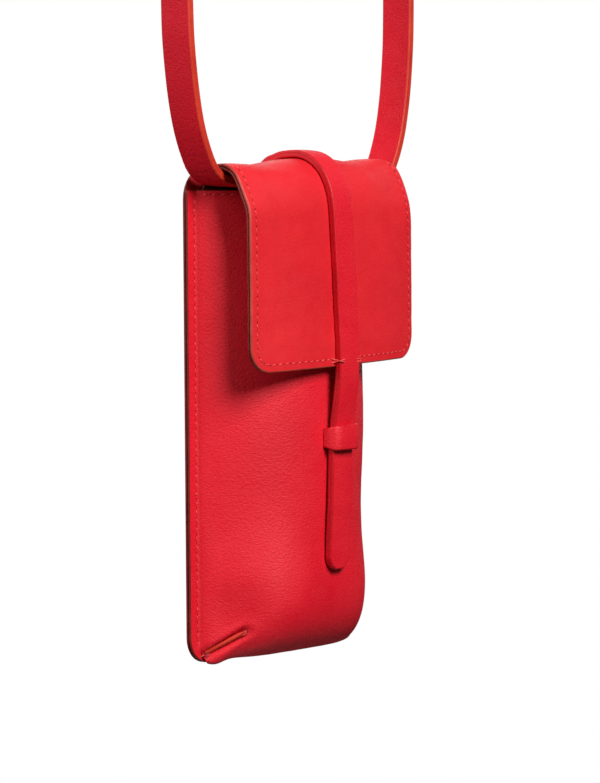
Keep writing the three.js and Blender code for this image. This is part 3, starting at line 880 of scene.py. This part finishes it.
# ---- Curves ----
def catmull_rom(points, count):
    """Evenly spaced points along a smooth curve through the given ones (centripetal)."""
    points = np.asarray(points, float)
    ends = [2 * points[0] - points[1], *points, 2 * points[-1] - points[-2]]
    dense = []
    for p0, p1, p2, p3 in zip(ends, ends[1:], ends[2:], ends[3:]):
        chords = (p1 - p0, p2 - p1, p3 - p2)
        d0, d1, d2 = (max(np.linalg.norm(chord) ** 0.5, 1e-6) for chord in chords)
        m1 = ((p1 - p0) / d0 - (p2 - p0) / (d0 + d1) + (p2 - p1) / d1) * d1
        m2 = ((p2 - p1) / d1 - (p3 - p1) / (d1 + d2) + (p3 - p2) / d2) * d1
        for t in np.linspace(0, 1, 24, endpoint=False):
            near = (2 * t ** 3 - 3 * t ** 2 + 1) * p1 + (t ** 3 - 2 * t ** 2 + t) * m1
            dense.append(near + (3 * t ** 2 - 2 * t ** 3) * p2 + (t ** 3 - t ** 2) * m2)
    dense = np.array([*dense, points[-1]])
    along = lengths_along(dense)
    return sample(dense, along, np.linspace(0, along[-1], count))


def bezier(a, b, c, d):
    t = np.linspace(0, 1, 60)[:, None]
    a, b, c, d = (np.array(p, float) for p in (a, b, c, d))
    return (1 - t) ** 3 * a + 3 * (1 - t) ** 2 * t * b + 3 * (1 - t) * t * t * c + t ** 3 * d


# ---- Flap ----
# Depth and height of its outer face at the middle, from the root over the fold to the lower edge
PROFILE = np.concatenate([
    bezier((0, ROOT_HEIGHT), (0, 191.2), (5, FLAP_TOP), (10, FLAP_TOP)),
    bezier(
        (18, FLAP_TOP), (26, FLAP_TOP), (FLAP_FRONT_DEPTH, 187.5), (FLAP_FRONT_DEPTH, FOLD_END_HEIGHT),
    ),
    [(FLAP_FRONT_DEPTH, FLAP_BOTTOM)],
])
PROFILE_ALONG = lengths_along(PROFILE)
FLAP_LENGTH = PROFILE_ALONG[-1]


def flap_points(x, length):
    """Points of the flap's outer face from x and the length of leather from the root.
    It crowns forward and up in the middle, dips beside the closure strap, and is pulled back at its
    edges: at both round the fold, and on down the left one."""
    depth = np.interp(length, PROFILE_ALONG, PROFILE[:, 0])
    height = np.interp(length, PROFILE_ALONG, PROFILE[:, 1])
    middle = 1 - (x / FLAP_HALF_WIDTH) ** 2
    on_top = np.sin(math.pi * depth / FLAP_FRONT_DEPTH)
    forward = FLAP_CROWN * clamp01((FLAP_TOP - height) / 70) * middle
    up = FLAP_TOP_RISE * on_top * middle
    away = smooth(length / 12)
    dip = FLAP_DIP_OVER_STRAP * hump(np.abs(x) - 27, 12) * smooth((on_top - 0.1) / 0.8)
    dip = dip + FLAP_DIP_AT_ROOT * hump(depth - 3.5, 4.5) * middle
    roll = 0.13 * rolling(x, length, 34, 21) + 0.04 * rolling(x, length, 10, 23)
    pull = (FLAP_EDGE_PULL - FLAP_EDGE_PULL_LEAN * x) * hump(height - 184.5, 10.5)
    pull = pull * smooth((np.abs(x) - 20) / 30) * smooth((depth - 12) / 8)
    pull = pull + FLAP_LEFT_PULL * smooth((178 - height) / 12) * smooth((-x - 20) / 30)
    height = height + up + away * (FLAP_LEAN * x + roll * on_top - dip)
    depth = depth + forward - pull + away * roll
    return place(x, depth, height)


def flap_normals(x, length):
    step = 0.5
    before = flap_points(x, np.maximum(length - step, 0))
    down = flap_points(x, np.minimum(length + step, FLAP_LENGTH)) - before
    right = flap_points(x + step, length) - flap_points(x - step, length)
    return unit(np.cross(down, right))


def length_at_height(height):
    return FLAP_LENGTH - (height - FLAP_BOTTOM)


def flap_half_width_at(length, inset):
    root = FLAP_ROOT_HALF_WIDTH - inset
    full = FLAP_HALF_WIDTH - inset
    return root + (full - root) * smooth(length / FLAP_WIDENS_OVER)


def flap_grid(inset):
    corner = length_at_height(FLAP_BOTTOM + FLAP_CORNER_RADIUS)
    arc = np.linspace(0, math.pi / 2, 14)[1:]
    radius = FLAP_CORNER_RADIUS - inset
    straight = np.concatenate([np.linspace(inset, 56, 84), np.linspace(56, corner, 44)[1:]])
    lengths = np.concatenate([straight, corner + radius * np.sin(arc)])
    widths = np.concatenate([
        flap_half_width_at(straight, inset), FLAP_HALF_WIDTH - inset - radius * (1 - np.cos(arc)),
    ])
    x = widths[:, None] * np.linspace(-1, 1, 90)
    return x, lengths[:, None] + 0 * x


def build_flap():
    x, length = flap_grid(FLAP_LAYER / 2)
    normals = flap_normals(x, length)
    points = flap_points(x, length)
    rim = round_rim(FLAP_LAYER)
    outer = solid_sheet(
        "flap_outer_leather", points, normals, FLAP_LAYER, rim, [FLAP_RED_SHEEN, EDGE_TAN, INNER_RED],
    )
    finish_piece(outer, "fold", "flap_outer")
    sunk = FLAP_LAYER + 0.1
    lining = solid_sheet(
        "flap_lining_leather", points - normals * sunk * MM, normals, FLAP_LAYER, rim,
        [INNER_RED, EDGE_BROWN_AND_SHADE, INNER_RED],
    )
    finish_piece(lining, "fold", "flap_lining")


def build_flap_threads():
    edge = FLAP_HALF_WIDTH - FLAP_STITCH_INSET
    radius = FLAP_CORNER_RADIUS - FLAP_STITCH_INSET
    corner = length_at_height(FLAP_BOTTOM + FLAP_CORNER_RADIUS)
    arc = np.linspace(0, math.pi / 2, 10)
    down, inward = 90, 30
    beside_belt = BELT_HALF_WIDTH + 2.2
    lengths = np.concatenate([
        np.linspace(24, corner, down), corner + radius * np.sin(arc), np.full(inward, corner + radius),
    ])
    across = np.concatenate([
        np.full(down, edge), edge - radius * (1 - np.cos(arc)),
        np.linspace(edge - radius, beside_belt, inward),
    ])
    for name, side in SIDES:
        row = (flap_points(side * across, lengths), flap_normals(side * across, lengths))
        seam = stitches(f"flap_stitches_{name}", [row], pitch=3.3)
        finish_piece(seam, "flap", f"flap_thread_{name}")


# ---- Closure strap ----
def belt_route():
    """Depth and height of the closure strap's inner face, from its rear end to its tip."""
    route = [(-GAP, h) for h in (BELT_REAR_END, 178, 184, 187)]
    over_fold = np.linspace(5.5, 46, 15)
    down_flap = [58, 70, 84, length_at_height(FLAP_BOTTOM + 3)]
    for length in [*over_fold, *down_flap]:
        spot = np.array([0.0]), np.array([float(length)])
        point = flap_points(*spot)[0] + flap_normals(*spot)[0] * 0.12 * MM
        route.append(((BACK_Y - point[1]) / MM, (point[2] - BOTTOM_Z) / MM))
    route += [(37, 107), (35.9, 99.5), (34.7, 92), (33.9, 85)]
    route += [(33.6, 78), (33, 60), (32.1, 45), (31.7, TAB_END)]
    return np.array(route)


def build_belt():
    line = catmull_rom(belt_route(), 420)
    ahead = unit(np.gradient(line, axis=0))
    out = np.stack([-ahead[:, 1], ahead[:, 0]], -1)
    reach = 0.55
    along = lengths_along(line)
    to_tip = along[-1] - along - reach
    keep = to_tip > 0
    line, out, to_tip = line[keep], out[keep], to_tip[keep]
    tip = clamp01(to_tip / (BELT_HALF_WIDTH - reach))
    half_width = (BELT_HALF_WIDTH - reach) * np.sqrt(clamp01(1 - (1 - tip) ** 2))
    half_width = np.maximum(half_width, 0.3)
    share = np.sin(np.linspace(-math.pi / 2, math.pi / 2, 14))
    x = half_width[:, None] * share
    crown = BELT_CROWN * (1 - (x / BELT_HALF_WIDTH) ** 2)
    wear = 0.05 * rolling(x * 0.4, np.arange(len(line))[:, None] * 0.7, 16, 5)
    rise = BELT_THICKNESS + crown + wear
    depth = line[:, :1] + out[:, :1] * rise
    height = line[:, 1:] + out[:, 1:] * rise
    points = place(x, depth, height)
    normals = np.stack([0 * out[:, 0], -out[:, 0], out[:, 1]], -1)[:, None, :] + np.zeros_like(points)
    rim = cut_rim(BELT_THICKNESS, reach, groove=0.06)
    belt = solid_sheet(
        "closure_strap_leather", points, normals, BELT_THICKNESS, rim,
        [LEATHER_RED, EDGE_RED, INNER_RED],
    )
    finish_piece(belt, "fold", "closure_strap")

    box = [(-4, 175), (-4, 183), (4, 183), (4, 175), (-4, 175)]
    corners = np.array([p for a, b in zip(box, box[1:]) for p in np.linspace(a, b, 8)])
    face = -GAP - BELT_THICKNESS - 0.2
    rear = place(corners[:, 0], face, corners[:, 1])
    normals = np.tile(BACKWARD, (len(rear), 1))
    tack = stitches("rear_tack_stitches", [(rear, normals)], pitch=2.7)
    finish_piece(tack, "pouch", "rear_tack_thread")


def build_bar_tacks():
    """Crossed threads at the flap's lower edge, from its face over each edge of the closure strap."""
    length = length_at_height(BAR_TACK_HEIGHT)
    for name, side in SIDES:
        spot = np.array([float(side * BELT_HALF_WIDTH)]), np.array([length])
        face = (BACK_Y - flap_points(*spot)[0, 1]) / MM
        top = face + BELT_THICKNESS + 0.75
        path = catmull_rom([
            (8.0, face - 0.2), (7.2, face + 0.4), (6.6, face + 1.5),
            (6.3, top - 0.6), (5.4, top - 0.15), (3.6, top - 0.9),
        ], 22)
        normals = np.tile([0.0, -0.8, 0.6], (len(path), 1))
        size = np.full(len(path), 0.48)
        points, faces = [], []
        for start, end in ((-0.7, 0.8), (0.8, -0.7)):
            rise = np.linspace(start, end, len(path))
            line = place(side * path[:, 0], path[:, 1], BAR_TACK_HEIGHT + rise)
            thread_points, thread_faces = tube(line, normals, size, size, 0.0, 8)
            faces += [tuple(i + len(points) for i in face) for face in thread_faces]
            points += list(thread_points)
        tack = make_object(f"bar_tack_{name}_thread", points, faces, [THREAD])
        finish_piece(tack, "flap", f"bar_tack_{name}")


# ---- Neck strap ----
def strap_side(side):
    """One side of the strap's route, from inside the fold up and round to near the top's middle."""
    bend = [
        (33, STRAP_HEIGHT), (44.5, 184.6), (50.8, 186.2), (55.4, 189.7), (58.8, 195.2),
        (62.7, 204.6), (65.8, 217), (68.4, 236), (69.3, 256), (68.9, 290), (67, 380), (64, 450),
    ]
    shoulder = STRAP_TOP - STRAP_THICKNESS / 2 - STRAP_TOP_RADIUS
    angles = np.linspace(0, math.pi / 2, 7)[:-1]
    for a in angles:
        round_top = (STRAP_TOP_RADIUS * math.cos(a), shoulder + STRAP_TOP_RADIUS * math.sin(a))
        bend.append(round_top)
    return [(side * x, h) for x, h in bend]


def strap_route():
    """X and height of the strap's middle, from its lower end up, round and down to its upper end."""
    layer = STRAP_THICKNESS + GAP
    upper = LAP_HEIGHT + layer
    return [
        (-LAP_HALF_LENGTH, LAP_HEIGHT), (0, LAP_HEIGHT), (18, LAP_HEIGHT), *strap_side(1),
        (0, STRAP_TOP - STRAP_THICKNESS / 2), *strap_side(-1)[::-1],
        (-25, STRAP_HEIGHT + (layer - LAP_SAG) / 2),
        (-17, upper), (0, upper), (LAP_HALF_LENGTH, upper),
    ]


def build_strap():
    line = catmull_rom(strap_route(), 1150)
    line[:, 0] += STRAP_SHIFT
    ahead = unit(np.gradient(line, axis=0))
    step = np.linalg.norm(line[1] - line[0])
    out = np.stack([ahead[:, 1], -ahead[:, 0]], -1)
    turn = np.linalg.norm(np.gradient(ahead, axis=0), axis=1) / step
    turn = np.convolve(turn, np.ones(9) / 9, "same")
    bent = smooth((turn - 0.006) / 0.03)
    reach = 0.6
    share = np.sin(np.linspace(-math.pi / 2, math.pi / 2, 18))
    across = share * (STRAP_HALF_WIDTH - reach)
    along = (np.arange(len(line)) * step)[:, None]
    wander = along + 0.9 * rolling(across, along, 14, 31)
    folds = clamp01(rolling(wander * 3.1, across * 0.25, 6, 32) + 0.1)
    creases = -STRAP_CREASE_DEPTH * bent[:, None] * folds
    wear = 0.06 * rolling(across, along, 26, 33)
    crown = STRAP_CROWN * (1 - (across / STRAP_HALF_WIDTH) ** 2)
    rise = STRAP_THICKNESS / 2 + crown + creases + wear
    x = line[:, :1] + out[:, :1] * rise
    height = line[:, 1:] + out[:, 1:] * rise
    points = place(x, STRAP_DEPTH + across + 0 * x, height)
    normals = np.stack([out[:, 0], 0 * out[:, 0], out[:, 1]], -1)[:, None, :] + np.zeros_like(points)
    rim = cut_rim(STRAP_THICKNESS, reach, groove=0.14)
    strap = solid_sheet(
        "neck_strap_leather", points, normals, STRAP_THICKNESS, rim,
        [STRAP_RED_SHADED, EDGE_ORANGE, STRAP_RED_SHADED],
    )
    finish_piece(strap, "strap", "neck_strap")

    seam_height = LAP_HEIGHT + STRAP_THICKNESS * 1.5 + GAP + 0.2
    for name, side in SIDES:
        depth = STRAP_DEPTH + np.linspace(-5, 5, 9)
        row = place(side * LAP_STITCH_X + STRAP_SHIFT, depth, seam_height)
        normals = np.tile(UPWARD, (len(row), 1))
        seam = stitches(f"strap_seam_stitches_{name}", [(row, normals)], pitch=2.5)
        finish_piece(seam, "strap", f"strap_seam_thread_{name}")


# ---- Studio ----
CAMERA_AZIMUTH = 51.55
CAMERA_PITCH = 2.64
CAMERA_ROLL = -0.39
CAMERA_PLACE = (-0.9738, -0.7757, -0.3818)
CAMERA_LENS = 145.8
FLOOR_DROP = 1.1
FLOOR_RADIUS = 0.8
FILL_STRENGTH = 0.035

# Soft boxes round the pouch: name, azimuth, elevation, distance, width and height, watts
SOFT_BOXES = (
    ("key", -18, 36, 1.7, (0.65, 0.75), 35),
    ("left", -110, 25, 1.7, (1.1, 1.1), 15.5),
    ("right", 98, 20, 1.8, (1.0, 1.0), 4),
    ("rear_left", -160, 25, 1.7, (0.9, 0.9), 6),
    ("rear_right", 140, 35, 1.9, (1.2, 1.2), 8),
)


def add_camera():
    azimuth, pitch, roll = (math.radians(a) for a in (CAMERA_AZIMUTH, CAMERA_PITCH, CAMERA_ROLL))
    forward = Vector((
        math.sin(azimuth) * math.cos(pitch), math.cos(azimuth) * math.cos(pitch), -math.sin(pitch),
    ))
    level_right = Vector((math.cos(azimuth), -math.sin(azimuth), 0))
    level_up = level_right.cross(forward)
    right = level_right * math.cos(roll) + level_up * math.sin(roll)
    up = right.cross(forward)
    data = bpy.data.cameras.new("camera")
    data.lens = CAMERA_LENS
    data.sensor_width = 36
    data.clip_start = 0.05
    data.clip_end = 30
    camera = link("camera", data)
    turn = Matrix((right, up, -forward)).transposed()
    camera.matrix_world = Matrix.Translation(CAMERA_PLACE) @ turn.to_4x4()
    bpy.context.scene.camera = camera


def add_soft_box(name, target, azimuth, elevation, distance, size, power):
    a, e = math.radians(azimuth), math.radians(elevation)
    back = Vector((math.sin(a) * math.cos(e), -math.cos(a) * math.cos(e), math.sin(e)))
    data = bpy.data.lights.new(name, "AREA")
    data.shape = "RECTANGLE"
    data.size, data.size_y = size
    data.energy = power
    lamp = link(name, data)
    lamp.location = Vector(target) + back * distance
    lamp.rotation_mode = "QUATERNION"
    lamp.rotation_quaternion = back.to_track_quat("Z", "Y")


def add_floor():
    sides = 96
    level = BOTTOM_Z - FLOOR_DROP
    angles = [2 * math.pi * i / sides for i in range(sides)]
    corners = [(FLOOR_RADIUS * math.cos(a), FLOOR_RADIUS * math.sin(a), level) for a in angles]
    n = Nodes("studio_floor")
    colour = n.ramp(n.noise(3), [(0.3, (0.62, 0.62, 0.62)), (0.7, (0.65, 0.65, 0.65))])
    roughness = n.between(n.noise(6), 0.3, 0.7, 0.8, 0.9)
    material = n.finish(colour, roughness, n.bump(n.noise(30), 0.0002))
    floor = make_object("studio_floor", corners, [tuple(range(sides))], [material])


def add_world():
    """White to the camera, and a weaker even fill for the object."""
    world = bpy.data.worlds.new("studio")
    bpy.context.scene.world = world
    world.use_nodes = True
    tree = world.node_tree
    background = tree.nodes["Background"]
    background.inputs["Color"].default_value = (1, 1, 1, 1)
    path = tree.nodes.new("ShaderNodeLightPath")
    levels = tree.nodes.new("ShaderNodeMapRange")
    levels.inputs["To Min"].default_value = FILL_STRENGTH
    levels.inputs["To Max"].default_value = 1.0
    tree.links.new(path.outputs["Is Camera Ray"], levels.inputs["Value"])
    tree.links.new(levels.outputs["Result"], background.inputs["Strength"])


def add_studio():
    add_camera()
    add_floor()
    add_world()
    target = place(0, 20, 110)
    for name, azimuth, elevation, distance, size, power in SOFT_BOXES:
        add_soft_box(name, target, azimuth, elevation, distance, size, power)
    view = bpy.context.scene.view_settings
    view.view_transform = "Standard"
    view.look = "None"


add_studio()
build_back()
build_front()
build_darts()
build_body_seams()
build_keeper()
build_flap()
build_flap_threads()
build_belt()
build_bar_tacks()
build_strap()
